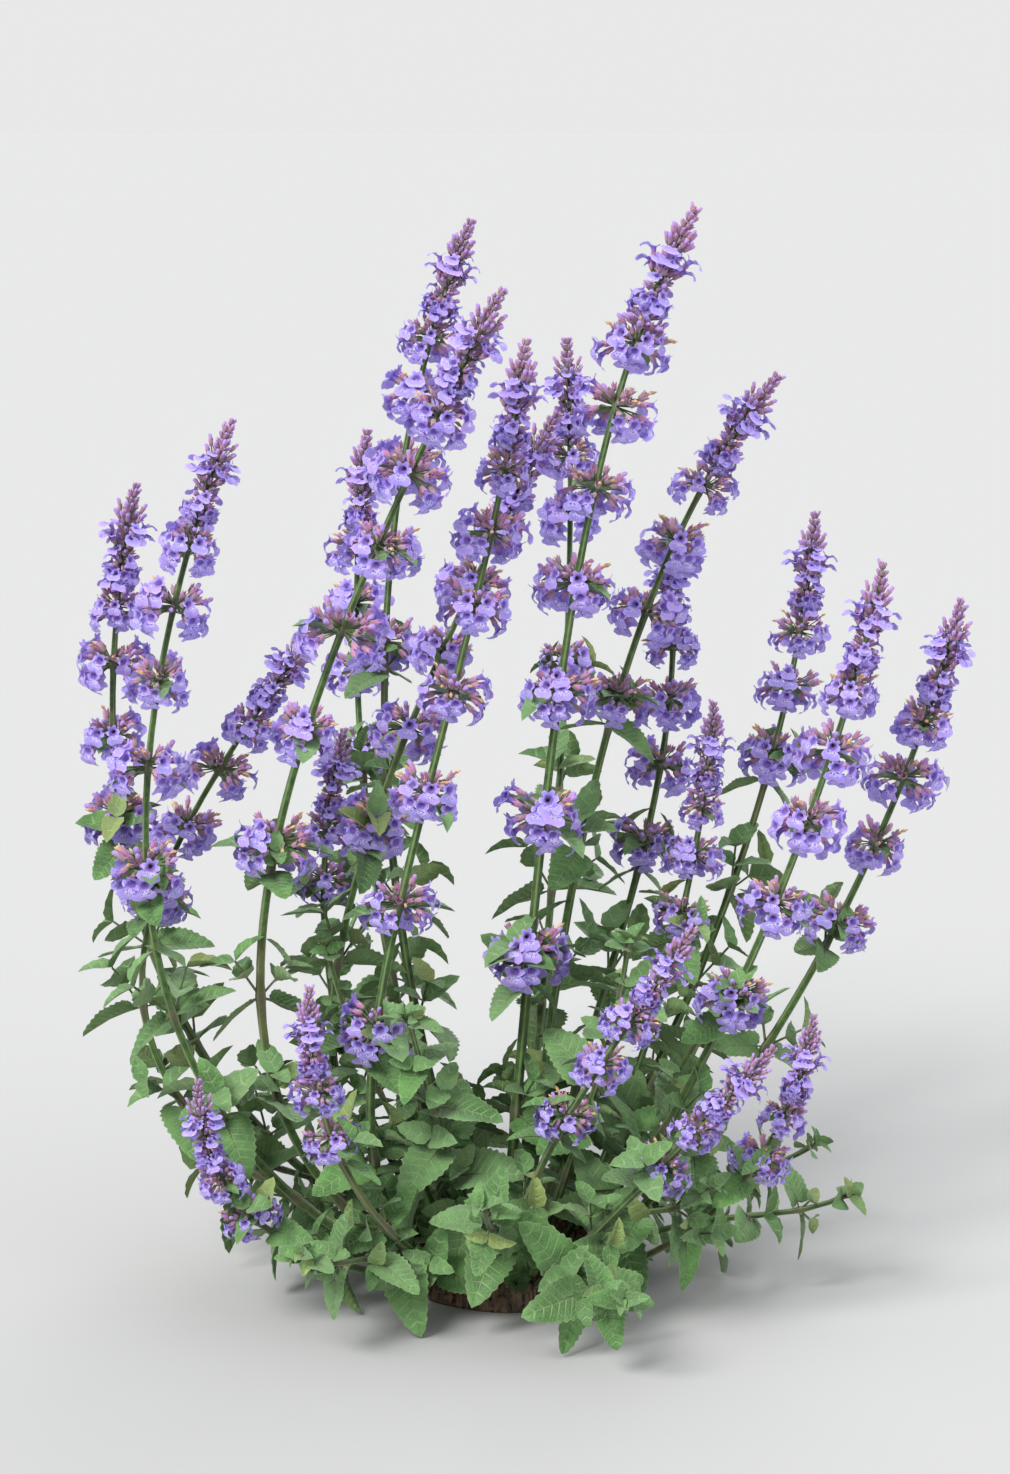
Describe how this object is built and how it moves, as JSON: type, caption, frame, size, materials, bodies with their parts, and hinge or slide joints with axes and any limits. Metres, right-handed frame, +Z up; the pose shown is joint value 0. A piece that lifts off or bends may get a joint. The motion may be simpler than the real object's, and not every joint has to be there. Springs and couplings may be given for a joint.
{
  "type": "catmint plant",
  "caption": "Free-standing clump of flowering catmint: square leafy stems with violet flower whorls rise and sprawl from a flat-based woody crown, over a mound of low leafy shoots.",
  "frame": {"origin": "centre of the crown's flat underside", "axes": "+Z up, -Y towards the clump's showiest side, +X to the right as seen from there"},
  "size_m": [0.5405, 0.4541, 0.651],
  "materials": {
    "crown": "rough bark",
    "foliage": "matt, finely hairy",
    "flowers": "matt, thin petals"
  },
  "bodies": {
    "root": {"crown": "crown", "main_1_stem": "foliage", "main_1_flowers": "flowers", "main_2_stem": "foliage", "main_2_flowers": "flowers", "main_3_stem": "foliage", "main_3_flowers": "flowers", "main_4_stem": "foliage", "main_4_flowers": "flowers", "main_5_stem": "foliage", "main_5_flowers": "flowers", "main_6_stem": "foliage", "main_6_flowers": "flowers", "main_7_stem": "foliage", "main_7_flowers": "flowers", "main_8_stem": "foliage", "main_8_flowers": "flowers", "main_9_stem": "foliage", "main_9_flowers": "flowers", "main_10_stem": "foliage", "main_10_flowers": "flowers", "main_11_stem": "foliage", "main_11_flowers": "flowers", "main_12_stem": "foliage", "main_12_flowers": "flowers", "back_1_stem": "foliage", "back_1_flowers": "flowers", "back_2_stem": "foliage", "back_2_flowers": "flowers", "back_3_stem": "foliage", "back_3_flowers": "flowers", "low_1_stem": "foliage", "low_1_flowers": "flowers", "low_2_stem": "foliage", "low_2_flowers": "flowers", "low_3_stem": "foliage", "low_3_flowers": "flowers", "low_4_stem": "foliage", "low_4_flowers": "flowers", "low_5_stem": "foliage", "low_5_flowers": "flowers", "low_6_stem": "foliage", "low_6_flowers": "flowers", "low_7_stem": "foliage", "low_7_flowers": "flowers", "shoot_1": "foliage", "shoot_2": "foliage", "shoot_3": "foliage", "shoot_4": "foliage", "shoot_5": "foliage", "shoot_6": "foliage", "shoot_7": "foliage", "shoot_8": "foliage", "shoot_9": "foliage", "shoot_10": "foliage", "shoot_11": "foliage", "shoot_12": "foliage", "shoot_13": "foliage"}
  },
  "joints": []
}
